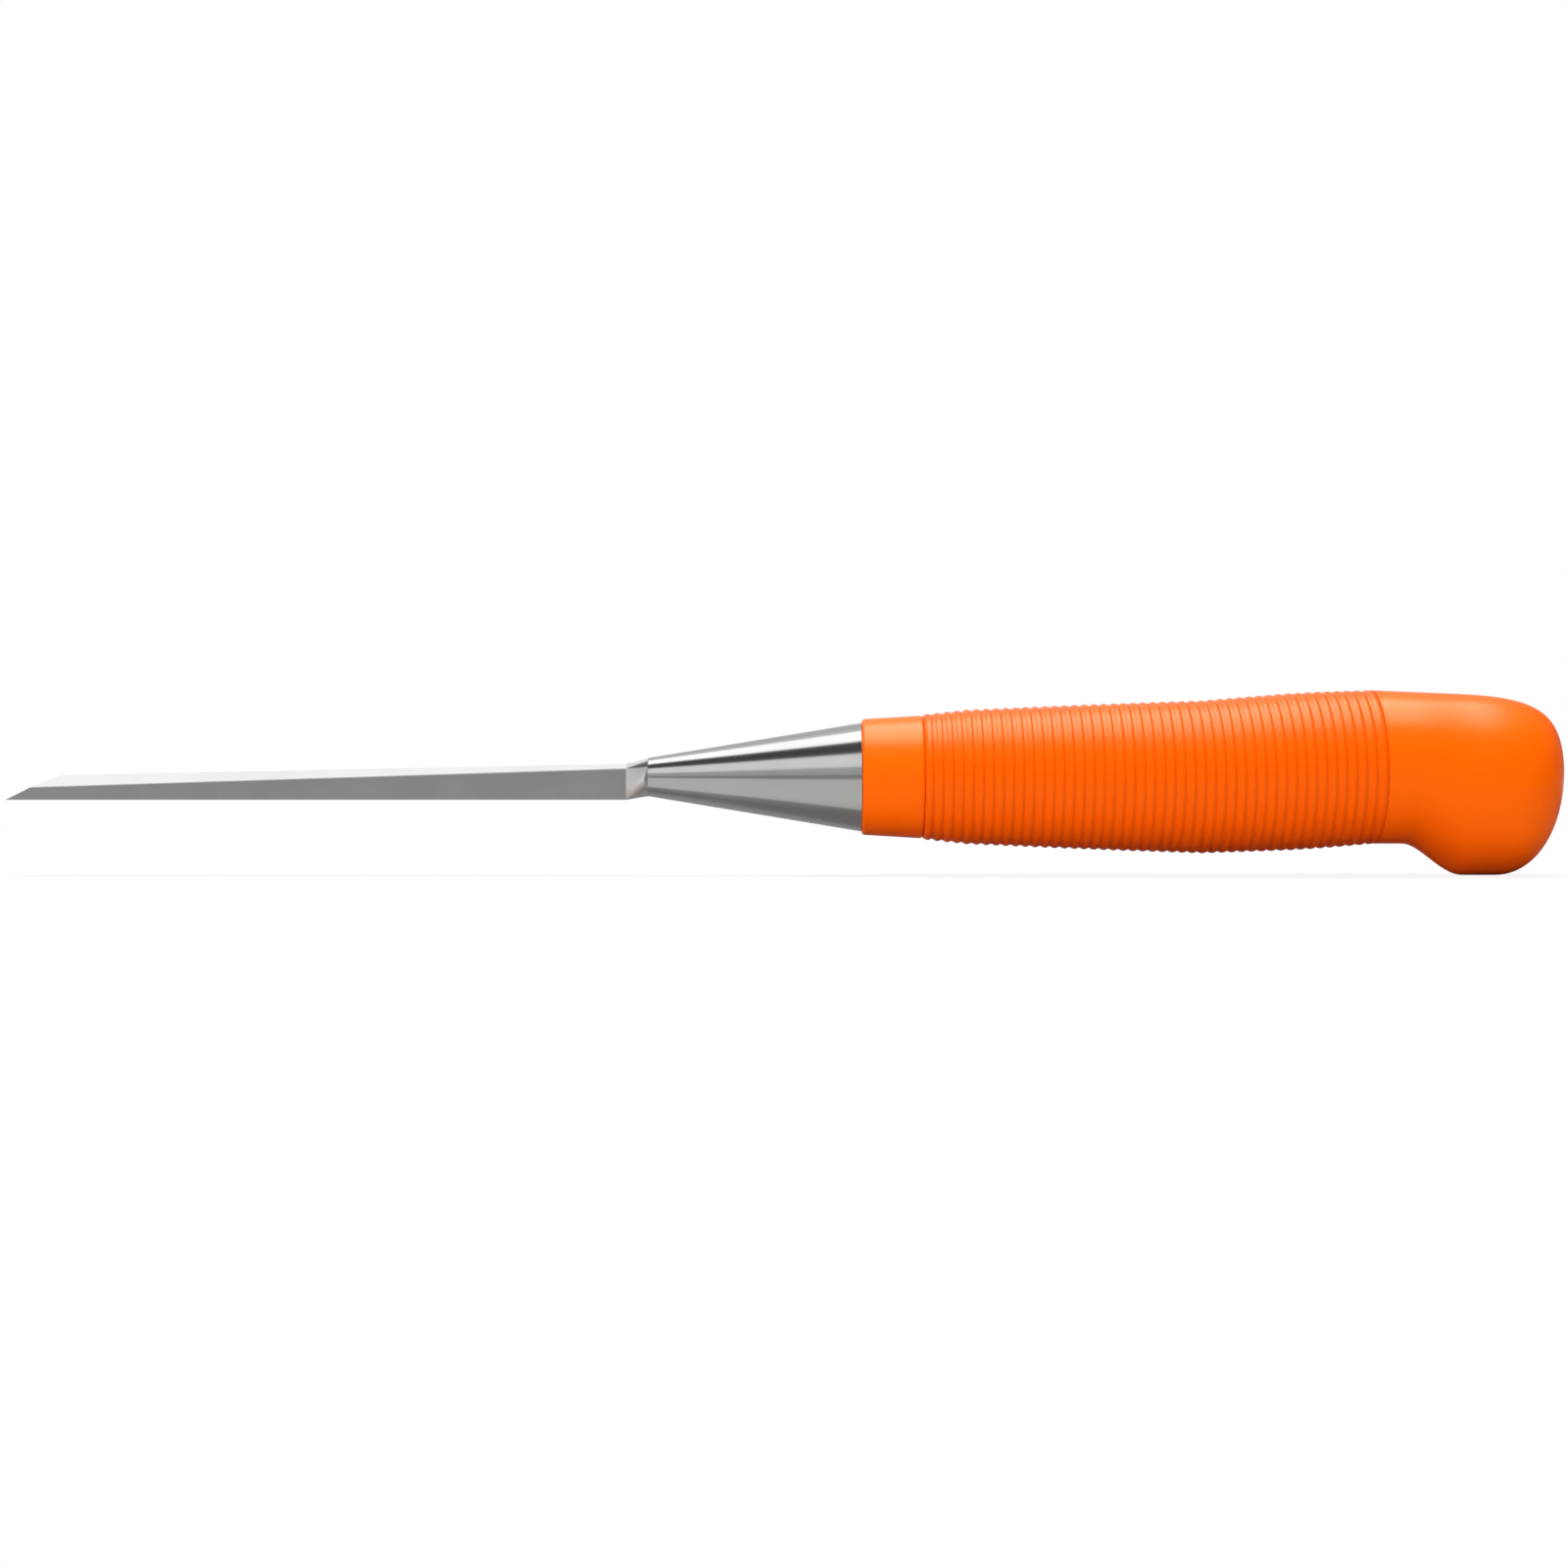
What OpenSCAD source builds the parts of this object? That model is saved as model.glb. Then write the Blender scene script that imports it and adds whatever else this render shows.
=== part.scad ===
// Bevel-edge wood chisel with a conical ferrule and a ribbed two-material handle.
// The cutting edge's middle, on the blade's flat back, is the origin.
// X runs from the edge to the butt, Z from the flat back to the bevelled side.

/* [Blade] */
// Width across the two side lands
blade_w = 12; // [8:0.5:25]
// Length from the cutting edge to the shoulder
blade_l = 105; // [70:1:160]
// Thickness at the cutting end, before the cutting bevel is ground
tip_t = 4; // [3:0.1:5]
// Thickness at the shoulder
root_t = 6.1; // [5.5:0.1:6.5]
// Height of the square side land at the cutting end
tip_land = 2.4; // [1:0.1:2.8]
// Height of the square side land at the shoulder
root_land = 5.1; // [3:0.1:5.3]
// Slope of the side bevels across the blade, in degrees
side_bevel = 28; // [15:1:40]
// Angle of the ground cutting bevel, in degrees
edge_bevel = 26.5; // [20:0.5:35]

/* [Neck and tang] */
// Height of the tool's axis above the flat back
axis_h = 3.9; // [3.2:0.1:4.5]
// Length over which the blade is turned down to the round neck
shoulder_l = 3.5; // [2:0.1:6]
// Diameter of the round neck
neck_d = 6.6; // [5.6:0.1:7]
// Diameter of the tang where it passes through the ferrule's nose
tang_d = 5; // [4:0.1:5.2]
// Length of the tang behind the neck
tang_l = 88; // [60:1:100]
// Side of the square tang at its end
tang_end = 2.6; // [2:0.1:2.8]
// Depth of the barb notches in the tang
notch_depth = 0.5; // [0.2:0.1:0.8]
// Number of barb notches on each face
notch_count = 4; // [1:1:5]
// Distance between barb notches
notch_pitch = 8; // [4:0.5:9]

/* [Ferrule] */
// Length of the cone
ferrule_l = 36.5; // [25:0.5:50]
// Diameter of the cone at the handle
ferrule_d = 18.6; // [15:0.1:19]
// Wall of the cone, measured across the axis
ferrule_wall = 1.2; // [0.8:0.1:1.8]
// Length of the solid nose round the tang
nose_l = 7; // [6:0.5:10]
// Radial clearance of the nose on the tang
nose_gap = 0.05; // [0:0.01:0.1]

/* [Collar] */
// Length of the smooth collar
collar_l = 10.5; // [6:0.5:15]
// Diameter of the collar at the ferrule
collar_front_d = 19.6; // [19.2:0.1:20.5]
// Diameter of the collar at the grip
collar_rear_d = 20.7; // [19.8:0.1:21]
// Rounding of the collar's edges
collar_round = 0.6; // [0.2:0.1:1]

/* [Grip] */
// Length of the ribbed grip
grip_l = 77; // [65:1:95]
// Diameter over the ribs at the collar
grip_front_d = 21.5; // [21:0.1:23]
// Diameter over the ribs at the swell
grip_swell_d = 26.6; // [24:0.1:30]
// Diameter over the ribs at the pommel
grip_rear_d = 26; // [24:0.1:28]
// Distance of the swell from the collar
swell_at = 63; // [50:1:64]
// Upward bend of the rear of the grip, in degrees
bend = 3.25; // [1:0.25:4]
// Number of ribs
rib_count = 46; // [30:1:50]
// The rib at which the grip bends, counted from the collar
bend_rib = 28; // [24:1:29]
// Number of ribs over which the ribs lean into the bend
bend_ribs = 12; // [6:1:16]
// Height of a rib above its grooves
rib_h = 0.35; // [0.2:0.05:0.8]
// Width of the groove between two ribs
groove_w = 0.45; // [0.3:0.05:0.7]
// Wall of the sleeve under the grooves
sleeve_wall = 2.4; // [1.5:0.1:3]
// Distance across the two flats of the stem inside the sleeve
stem_flats = 14.6; // [13.5:0.1:15.2]

/* [Pommel] */
// Length of the pommel
pommel_l = 31.7; // [28:0.1:40]
// Width of the pommel
pommel_w = 26.6; // [25:0.1:30]
// Depth of the heel below the tool's axis
heel_depth = 16.8; // [14:0.1:20]
// Distance from the grip to where the heel starts to drop
throat_at = 4.9; // [2:0.1:6]
// Distance from the grip to the full depth of the heel
heel_at = 15.4; // [12:0.1:17]
// Fall of the pommel's upper line towards the butt, in degrees
top_fall = 2.4; // [0:0.1:4]
// Length of the butt's rounding along the upper line
top_round = 22.2; // [12:0.1:26]
// Length of the butt's rounding along the heel
heel_round = 10.9; // [8:0.1:16]
// Length of the butt's rounding along the sides
side_round = 17; // [10:0.1:22]
// Fullness of the rounding along the upper line, where 2 is an ellipse
top_full = 4; // [2:0.05:4.5]
// Fullness of the rounding along the heel
heel_full = 2.15; // [2:0.05:3]
// Fullness of the rounding along the sides
side_full = 3; // [2:0.05:3.5]

/* [Hidden] */
$fn = 96;

// Reach of a cutting block past what it cuts
past = 1;
// Steps of a round stretch in a profile, and rings and sides of the pommel
arc_steps = 8;
taper_steps = 10;
pommel_rings = 28;
pommel_sides = 48;

// Places along the tool
neck_end = blade_l + shoulder_l;
mouth_x = neck_end + ferrule_l;
grip_x = mouth_x + collar_l;
pommel_x = grip_x + grip_l;

// The blade's ground faces
top_rise = (root_t - tip_t) / blade_l;
land_rise = (root_land - tip_land) / blade_l;
bevel_run = tip_t / (tan(edge_bevel) - top_rise);
turn_r = norm([blade_w / 2, max(axis_h, root_t - axis_h)]);

// The ferrule's cavity, which the handle's nose fills
mouth_r = ferrule_d / 2 - ferrule_wall;
cone_rise = (ferrule_d - neck_d) / 2 / ferrule_l;
cavity_r = neck_d / 2 + cone_rise * nose_l - ferrule_wall;
tang_root = tang_d / sqrt(2);

// The ribs and the grip's bend
pitch = grip_l / rib_count;
rib_w = pitch - groove_w;
bend_at = (bend_rib + 0.5) * pitch;
bend_run = bend_ribs * pitch;
rear_l = (grip_l - bend_at) / cos(bend);
rear_z = axis_h + (grip_l - bend_at) * tan(bend);
// Depth to which a rib's rounding runs on below the grooves
rib_root = 0.2;
// Length of the stem inside the pommel
stem_in = 5;

function mix(a, b, t) = a + (b - a) * t;
function ease(t) = let(c = max(0, min(1, t))) c * c * (3 - 2 * c);

// Fall from 1 to 0 along a superellipse's quarter, and 1 before it starts
function fall(t, fullness) = pow(1 - pow(max(0, min(1, t)), fullness), 1 / fullness);

// Radius over the ribs, and lean of a rib, at a distance from the collar
function crest_r(u) =
    u < swell_at
        ? mix(grip_front_d, grip_swell_d, (u / swell_at + sin(90 * u / swell_at)) / 2) / 2
        : mix(grip_swell_d, grip_rear_d, pow((u - swell_at) / (grip_l - swell_at), 2)) / 2;
function lean(u) = bend * ease((u - bend_at) / bend_run + 0.5);
function spine_z(u) = axis_h + max(0, u - bend_at) * tan(bend);

// Heights above and below the tool's axis, and half width, along the pommel
function pommel_top(s) =
    (rear_z - axis_h + grip_rear_d / 2 - s * tan(top_fall))
    * fall((s - pommel_l + top_round) / top_round, top_full);
function pommel_low(s) =
    mix(grip_rear_d / 2 - rear_z + axis_h, heel_depth, ease((s - throat_at) / (heel_at - throat_at)))
    * fall((s - pommel_l + heel_round) / heel_round, heel_full);
function pommel_half(s) =
    mix(grip_rear_d, pommel_w, ease(s / heel_at)) / 2
    * fall((s - pommel_l + side_round) / side_round, side_full);

// Points of a round stretch between two angles
function arc(centre, r, from, to) =
    [for (i = [0:arc_steps]) let(a = mix(from, to, i / arc_steps)) centre + r * [cos(a), sin(a)]];

// Turns a shape's own Z onto the tool's axis, at a place along it
module on_axis(x) {
    translate([x, 0, axis_h])
        rotate([0, 90, 0])
            children();
}

// The same for the rear of the grip, along its raised axis
module on_raised_axis() {
    translate([grip_x + bend_at, 0, axis_h])
        rotate([0, 90 - bend, 0])
            children();
}

// Side view of the ground blade, drawn out to the end of the shoulder
module blade_outline() {
    polygon([
        [0, 0],
        [neck_end, 0],
        [neck_end, tip_t + top_rise * neck_end],
        [bevel_run, tip_t + top_rise * bevel_run]
    ]);
}

// Block whose lower face is the side bevel on the +Y side
module side_bevel_cut() {
    pitch_angle = atan(land_rise);
    roll_angle = atan(tan(side_bevel) * cos(pitch_angle));
    translate([0, blade_w / 2, tip_land])
        rotate([-roll_angle, -pitch_angle, 0])
            translate([-past, -blade_w, 0])
                cube([neck_end + 2 * past, 2 * blade_w, 2 * root_t]);
}

// What the lathe takes off the bar's end: all outside a concave sweep down to the neck
module shoulder_cut() {
    depth = turn_r - neck_d / 2;
    on_axis(blade_l)
        rotate_extrude()
            polygon(concat(
                [for (i = [0:arc_steps])
                    let(a = 90 * i / arc_steps)
                        [turn_r - depth * sin(a), shoulder_l * (1 - cos(a))]],
                [[neck_d / 2, shoulder_l + past],
                 [2 * turn_r, shoulder_l + past],
                 [2 * turn_r, 0]]
            ));
}

// Round neck that rises out of the blade's upper face on a short ramp
module neck() {
    on_axis(blade_l)
        cylinder(h = shoulder_l / 2, r1 = neck_d / 4, r2 = neck_d / 2);
    on_axis(blade_l + shoulder_l / 2)
        cylinder(h = shoulder_l / 2, d = neck_d);
}

// Tapered square tang, round where it passes through the ferrule's nose
module tang() {
    square_x = neck_end + nose_l;
    square_l = tang_l - nose_l;
    taper = [[0, -tang_root / 2], [square_l, -tang_end / 2], [square_l, tang_end / 2], [0, tang_root / 2]];
    on_axis(neck_end - past)
        cylinder(h = nose_l + past, d = tang_d);
    difference() {
        intersection() {
            translate([square_x, 0, axis_h - tang_root])
                linear_extrude(2 * tang_root)
                    polygon(taper);
            translate([square_x, tang_root, axis_h])
                rotate([90, 0, 0])
                    linear_extrude(2 * tang_root)
                        polygon(taper);
        }
        for (i = [0:notch_count - 1], side = [-1, 1])
            tang_notch(tang_l - (i + 1) * notch_pitch, side);
    }
}

// Barb notch across the upper or lower face of the tang, at a distance behind the neck
module tang_notch(along, side) {
    half = mix(tang_root, tang_end, (along - nose_l) / (tang_l - nose_l)) / 2;
    translate([neck_end + along, 0, axis_h + side * half])
        rotate([0, 45, 0])
            cube([notch_depth * sqrt(2), 2 * tang_root, notch_depth * sqrt(2)], center = true);
}

module blade() {
    color("silver")
        union() {
            difference() {
                translate([0, blade_w / 2, 0])
                    rotate([90, 0, 0])
                        linear_extrude(blade_w)
                            blade_outline();
                side_bevel_cut();
                mirror([0, 1, 0])
                    side_bevel_cut();
                shoulder_cut();
            }
            neck();
            tang();
        }
}

module ferrule() {
    bore_r = tang_d / 2 + nose_gap;
    color("gainsboro")
        on_axis(neck_end)
            rotate_extrude()
                polygon([
                    [bore_r, 0],
                    [neck_d / 2, 0],
                    [ferrule_d / 2, ferrule_l],
                    [mouth_r, ferrule_l],
                    [cavity_r, nose_l],
                    [bore_r, nose_l]
                ]);
}

// Nose inside the ferrule and collar in front of the grip, turned about the tool's axis
module nose_and_collar() {
    front_r = collar_front_d / 2;
    rear_r = collar_rear_d / 2;
    on_axis(neck_end)
        rotate_extrude()
            polygon(concat(
                [[0, nose_l], [cavity_r, nose_l], [mouth_r, ferrule_l]],
                arc([front_r - collar_round, ferrule_l + collar_round], collar_round, -90, 0),
                arc([rear_r - collar_round, ferrule_l + collar_l - collar_round], collar_round, 0, 90),
                [[0, ferrule_l + collar_l]]
            ));
}

// Round body under the grip's ribs, a given depth below their crests and bent as the grip is.
// The two straight stretches run into each other by the overlap.
module grip_body(depth, front_over, overlap, rear_over) {
    on_axis(grip_x)
        rotate_extrude()
            polygon(concat(
                [[0, -front_over], [crest_r(0) - depth, -front_over]],
                [for (i = [0:taper_steps])
                    let(u = bend_at * i / taper_steps)
                        [crest_r(u) - depth, u]],
                [[crest_r(bend_at) - depth, bend_at + overlap], [0, bend_at + overlap]]
            ));
    on_raised_axis()
        rotate_extrude()
            polygon(concat(
                [[0, -overlap], [crest_r(bend_at) - depth, -overlap]],
                [for (i = [0:taper_steps])
                    let(t = i / taper_steps)
                        [crest_r(mix(bend_at, grip_l, t)) - depth, rear_l * t]],
                [[crest_r(grip_l) - depth, rear_l + rear_over], [0, rear_l + rear_over]]
            ));
}

// Stem of the core inside the sleeve, with two flats that keep the sleeve from turning
module stem(front_over) {
    intersection() {
        grip_body(rib_h + sleeve_wall, front_over, overlap = past, rear_over = stem_in);
        translate([grip_x - 2 * past, -stem_flats / 2, axis_h - grip_swell_d])
            cube([grip_l + 2 * past + 2 * stem_in, stem_flats, 2 * grip_swell_d]);
    }
}

// One ring of the pommel, leaning as the last rib does at the grip and upright at the butt
function pommel_ring(s) =
    let(
        high = pommel_top(s),
        low = pommel_low(s),
        half_h = (high + low) / 2,
        tilt = bend * (1 - ease(s / heel_at)),
        centre = [pommel_x + s, 0, axis_h + (high - low) / 2]
    )
    [for (k = [0:pommel_sides - 1])
        let(a = 360 * k / pommel_sides)
            centre + [-half_h * sin(a) * sin(tilt), pommel_half(s) * cos(a), half_h * sin(a) * cos(tilt)]];

// Hooked pommel, lofted from the grip's round section to the butt
module pommel() {
    n = pommel_sides;
    points = concat(
        [for (j = [0:pommel_rings - 1]) each pommel_ring(pommel_l * sin(90 * j / pommel_rings))],
        [[pommel_x + pommel_l, 0, axis_h]]
    );
    apex = n * pommel_rings;
    last = n * (pommel_rings - 1);
    front = [[for (k = [0:n - 1]) k]];
    sides = [
        for (j = [0:pommel_rings - 2], k = [0:n - 1])
            let(a = j * n + k, b = j * n + (k + 1) % n)
                each [[a, a + n, b], [b, a + n, b + n]]
    ];
    butt = [for (k = [0:n - 1]) [last + k, apex, last + (k + 1) % n]];
    polyhedron(points, concat(front, sides, butt));
}

module handle_core() {
    color("darkorange")
        difference() {
            union() {
                nose_and_collar();
                stem(front_over = 0);
                pommel();
            }
            tang();
        }
}

// One rounded rib, a ring that reaches in past the sleeve's bore
module rib(r) {
    bore_r = r - rib_h - sleeve_wall - past / 2;
    round_h = rib_h + rib_root;
    rotate_extrude()
        polygon(concat(
            [[bore_r, -rib_w / 2]],
            [for (i = [0:arc_steps])
                let(a = mix(-90, 90, i / arc_steps))
                    [r - round_h + round_h * cos(a), rib_w / 2 * sin(a)]],
            [[bore_r, rib_w / 2]]
        ));
}

module grip_sleeve() {
    color("orangered")
        difference() {
            union() {
                grip_body(rib_h, front_over = 0, overlap = 0, rear_over = 0);
                for (i = [0:rib_count - 1]) {
                    u = (i + 0.5) * pitch;
                    translate([grip_x + u, 0, spine_z(u)])
                        rotate([0, 90 - lean(u), 0])
                            rib(crest_r(u));
                }
            }
            stem(front_over = past);
        }
}

blade();
ferrule();
handle_core();
grip_sleeve();
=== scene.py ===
"""Bevel-edge wood chisel: its finished pieces and a small studio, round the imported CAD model."""

import math

import bmesh
import bpy
from bpy.props import FloatProperty, FloatVectorProperty, IntProperty, PointerProperty
from mathutils import Matrix, Vector


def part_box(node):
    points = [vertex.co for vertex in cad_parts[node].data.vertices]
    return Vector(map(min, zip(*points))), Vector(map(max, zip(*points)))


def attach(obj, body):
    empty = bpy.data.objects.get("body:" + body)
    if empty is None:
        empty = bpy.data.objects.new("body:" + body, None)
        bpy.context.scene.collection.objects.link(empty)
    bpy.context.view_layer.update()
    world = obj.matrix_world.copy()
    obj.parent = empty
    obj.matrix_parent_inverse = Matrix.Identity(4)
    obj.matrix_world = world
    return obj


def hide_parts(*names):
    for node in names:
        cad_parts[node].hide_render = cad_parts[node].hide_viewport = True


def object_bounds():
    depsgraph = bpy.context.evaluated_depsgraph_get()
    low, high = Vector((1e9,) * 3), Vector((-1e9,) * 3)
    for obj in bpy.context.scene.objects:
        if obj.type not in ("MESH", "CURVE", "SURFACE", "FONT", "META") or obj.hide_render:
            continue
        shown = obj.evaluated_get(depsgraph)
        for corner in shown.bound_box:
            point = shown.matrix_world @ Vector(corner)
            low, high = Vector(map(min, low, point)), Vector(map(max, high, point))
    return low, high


bl_info = {
    "name": "Wood chisel",
    "version": (1, 0, 0),
    "blender": (4, 5, 0),
    "location": "3D View > Sidebar > Chisel",
    "description": "Finished pieces of a bevel-edge wood chisel and a studio to show them in",
    "category": "Add Mesh",
}

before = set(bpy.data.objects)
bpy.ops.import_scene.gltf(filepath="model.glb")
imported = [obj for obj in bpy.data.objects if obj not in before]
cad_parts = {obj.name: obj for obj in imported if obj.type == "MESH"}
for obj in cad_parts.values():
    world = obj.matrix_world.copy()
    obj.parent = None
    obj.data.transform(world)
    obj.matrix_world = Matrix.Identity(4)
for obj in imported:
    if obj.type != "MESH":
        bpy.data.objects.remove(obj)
CAD_BOX = [list(corner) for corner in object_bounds()]
BLADE_LOW, BLADE_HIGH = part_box("blade")
FERRULE_LOW, FERRULE_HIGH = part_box("ferrule")
SLEEVE_LOW, SLEEVE_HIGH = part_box("grip_sleeve")
CORE_LOW, CORE_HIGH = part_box("handle_core")

MM = 0.001
LATHE_STEPS = 128
ROUND_STEPS = 8
LOFT_SIDES = 112
# A gap that is joined where a loft meets its own start, and a distance that counts as none
SEAM = 0.01 * MM
SPECK = 0.001 * MM
FLOOR_RADIUS = 4.0
FLOOR_GAP = 0.05 * MM
HANDLE_LIGHT = (1.0, 0.99, 0.78)
# The photo's camera: level, square to the tool's side and close to its middle
CAMERA_PLACE = (131.73 * MM, -442 * MM, 2.69 * MM)
CAMERA_LENS = 59.2
CAMERA_SENSOR = 36.0


def linear(hex_colour):
    """A colour written as sRGB hex, as the linear values that a shader takes."""
    parts = [int(hex_colour[i : i + 2], 16) / 255 for i in (1, 3, 5)]
    return [c / 12.92 if c <= 0.04045 else ((c + 0.055) / 1.055) ** 2.4 for c in parts]


def length(name, description, metres):
    """A size in metres that shows in the scene's unit."""
    return FloatProperty(
        name=name, description=description, default=metres, min=0.0, precision=5, unit="LENGTH"
    )


def slope(name, description, degrees):
    """An angle that shows in degrees."""
    return FloatProperty(
        name=name, description=description, default=math.radians(degrees), subtype="ANGLE"
    )


def colour(name, description, hex_colour):
    """A colour that is written as sRGB hex and kept as linear values."""
    return FloatVectorProperty(
        name=name, description=description, default=linear(hex_colour), size=3,
        min=0.0, max=1.0, subtype="COLOR",
    )


class ChiselBladeSizes(bpy.types.PropertyGroup):
    """Sizes of the blade, its shoulder, neck and tang"""

    width: length("Width", "Width across the side lands", BLADE_HIGH.y - BLADE_LOW.y)
    tip_thickness: length("Tip thickness", "Thickness where the cutting bevel is ground", 4.0 * MM)
    root_thickness: length("Root thickness", "Thickness at the shoulder", 6.1 * MM)
    tip_land: length("Tip land", "Height of the square side at the cutting end", 2.0 * MM)
    root_land: length("Root land", "Height of the square side at the shoulder", 5.3 * MM)
    side_bevel: slope("Side bevel", "Slope of the side bevels across the blade", 28.0)
    edge_bevel: slope("Cutting bevel", "Angle of the cutting bevel", 26.5)
    edge_break: length("Edge break", "Width that the wheel takes off the blade's edges", 0.1 * MM)
    axis_height: length("Axis height", "Height of the tool's axis above the flat back", 3.9 * MM)
    shoulder: length("Shoulder", "Length over which the blade narrows to the neck", 3.5 * MM)
    neck: length("Neck", "Diameter of the round neck", 6.6 * MM)
    tang: length("Tang", "Diameter of the tang in the ferrule's nose", 5.0 * MM)
    tang_end: length("Tang end", "Side of the square tang at its end", 2.6 * MM)


class ChiselFerruleSizes(bpy.types.PropertyGroup):
    """Sizes of the conical ferrule"""

    mouth: length("Mouth", "Diameter of the cone at the handle", FERRULE_HIGH.y - FERRULE_LOW.y)
    wall: length("Wall", "Wall of the cone", 1.2 * MM)
    nose: length("Nose", "Length of the solid nose round the tang", 7.0 * MM)
    rim: length("Rim", "Rounding of the cone's rim at the handle", 0.25 * MM)
    nose_rim: length("Nose rim", "Rounding of the cone's edge at the neck", 0.08 * MM)


class ChiselHandleSizes(bpy.types.PropertyGroup):
    """Sizes of the collar, the ribbed grip and the pommel"""

    collar_front: length("Collar front", "Diameter of the collar at the ferrule", 19.9 * MM)
    collar_rear: length("Collar rear", "Diameter of the collar at the grip", 21.0 * MM)
    collar_round: length("Collar rounding", "Rounding of the collar's edges", 0.6 * MM)
    grip: length("Grip", "Length of the ribbed grip", 77.0 * MM)
    grip_front: length("Grip front", "Diameter over the ribs near the collar", 22.4 * MM)
    grip_swell: length("Grip swell", "Diameter over the ribs at the swell", 26.9 * MM)
    grip_rear: length("Grip rear", "Diameter over the ribs at the pommel", 26.3 * MM)
    lead_in: length("Lead-in", "Length over which the first ribs climb from the collar", 7.5 * MM)
    lead_drop: length("Lead-in drop", "Drop of the first rib below the line of the grip", 0.48 * MM)
    swell_at: length("Swell at", "Distance of the swell from the collar", 63.0 * MM)
    bend: slope("Bend", "Upward bend of the rear of the grip", 3.35)
    rib_lean: slope("Rib lean", "Lean of the ribs behind the bend", 1.0)
    ribs: IntProperty(name="Ribs", description="Number of ribs", default=46, min=1)
    bend_rib: IntProperty(name="Bend rib", description="Rib at which the grip bends", default=28)
    bend_ribs: IntProperty(name="Bend ribs", description="Ribs that lean into the bend", default=12)
    rib_height: length("Rib height", "Height of a rib above its grooves", 0.24 * MM)
    rib_root: length("Rib root", "Depth of a rib's rounding below its grooves", 0.3 * MM)
    groove: length("Groove", "Width of the groove between two ribs", 0.3 * MM)
    sleeve_wall: length("Sleeve wall", "Wall of the sleeve under its grooves", 2.4 * MM)
    pommel_width: length("Pommel width", "Width of the pommel", CORE_HIGH.y - CORE_LOW.y)
    heel_depth: length("Heel depth", "Depth of the heel below the tool's axis", 16.8 * MM)
    throat_at: length("Throat at", "Distance from the grip to where the heel drops", 4.9 * MM)
    heel_at: length("Heel at", "Distance from the grip to the heel's full depth", 15.4 * MM)
    top_fall: slope("Top fall", "Fall of the pommel's upper line to the butt", 2.4)
    top_round: length("Top rounding", "Length of the butt's rounding on top", 22.2 * MM)
    heel_round: length("Heel rounding", "Length of the butt's rounding at the heel", 10.9 * MM)
    side_round: length("Side rounding", "Length of the butt's rounding at the sides", 17.0 * MM)
    top_full: FloatProperty(name="Top fullness", description="Fullness on top", default=4.0)
    heel_full: FloatProperty(name="Heel fullness", description="Fullness at the heel", default=2.15)
    side_full: FloatProperty(name="Side fullness", description="Fullness at the sides", default=3.0)


class ChiselColours(bpy.types.PropertyGroup):
    """Colours of the finishes and of the studio"""

    blade: colour("Blade", "Ground tool steel of the blade", "#E9EAE8")
    ferrule: colour("Ferrule", "Polished steel of the ferrule", "#E9EAE9")
    core: colour("Core", "Hard orange plastic of the collar and pommel", "#FF6500")
    sleeve: colour("Sleeve", "Softer orange plastic of the ribbed grip", "#FB5E00")
    floor: colour("Floor", "Pale floor of the studio", "#F4F4F2")


def mix(start, end, share):
    """The value at a share of the way from start to end."""
    return start + (end - start) * share


def ease(share):
    """A share from 0 to 1 that sets off and arrives gently."""
    share = max(0.0, min(1.0, share))
    return share * share * (3 - 2 * share)


def fall(share, fullness):
    """Fall from 1 to 0 along a quarter of a superellipse."""
    return (1 - max(0.0, min(1.0, share)) ** fullness) ** (1 / fullness)


def rounding(centre_x, centre_r, radius, start, end):
    """Points (x, radius) of a rounded edge between two angles in degrees."""
    angles = [math.radians(mix(start, end, i / ROUND_STEPS)) for i in range(ROUND_STEPS + 1)]
    return [(centre_x + radius * math.sin(a), centre_r + radius * math.cos(a)) for a in angles]


def held(start, end):
    """Points close to the ends of a straight line, which keep it straight in smooth shading."""
    return [tuple(mix(a, b, share) for a, b in zip(start, end)) for share in (0.02, 0.98)]


def turn(bm, profile, axis_height):
    """Turns a profile of points (x, radius) about the tool's axis."""
    verts = [bm.verts.new((x, 0.0, axis_height + radius)) for x, radius in profile]
    edges = [bm.edges.new(pair) for pair in zip(verts, verts[1:])]
    bmesh.ops.spin(
        bm, geom=verts + edges, cent=(0.0, 0.0, axis_height), axis=(1.0, 0.0, 0.0),
        angle=math.tau, steps=LATHE_STEPS, use_merge=True,
    )
    bmesh.ops.remove_doubles(bm, verts=bm.verts, dist=SPECK)
    bmesh.ops.recalc_face_normals(bm, faces=bm.faces)


def ring(x, z, half_width, half_height, lean=0.0):
    """The matrix that sets a unit circle across the tool, leaning by an angle."""
    across = Matrix(((0, 0, 1, 0), (1, 0, 0, 0), (0, 1, 0, 0), (0, 0, 0, 1)))
    stretch = Matrix.Diagonal((half_width, half_height, 1.0, 1.0))
    return Matrix.Translation((x, 0.0, z)) @ Matrix.Rotation(-lean, 4, "Y") @ across @ stretch


def loft(bm, rings):
    """Draws a tube out from ring to ring and returns the vertices of its two ends."""
    start = bmesh.ops.create_circle(bm, segments=LOFT_SIDES, radius=1.0, matrix=rings[0])["verts"]
    loop = list(dict.fromkeys(edge for vert in start for edge in vert.link_edges))
    end = start
    for before, after in zip(rings, rings[1:]):
        drawn = bmesh.ops.extrude_edge_only(bm, edges=loop)["geom"]
        end = [part for part in drawn if isinstance(part, bmesh.types.BMVert)]
        loop = [part for part in drawn if isinstance(part, bmesh.types.BMEdge) and part.is_boundary]
        bmesh.ops.transform(bm, matrix=after @ before.inverted(), verts=end)
    return start, end


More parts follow.
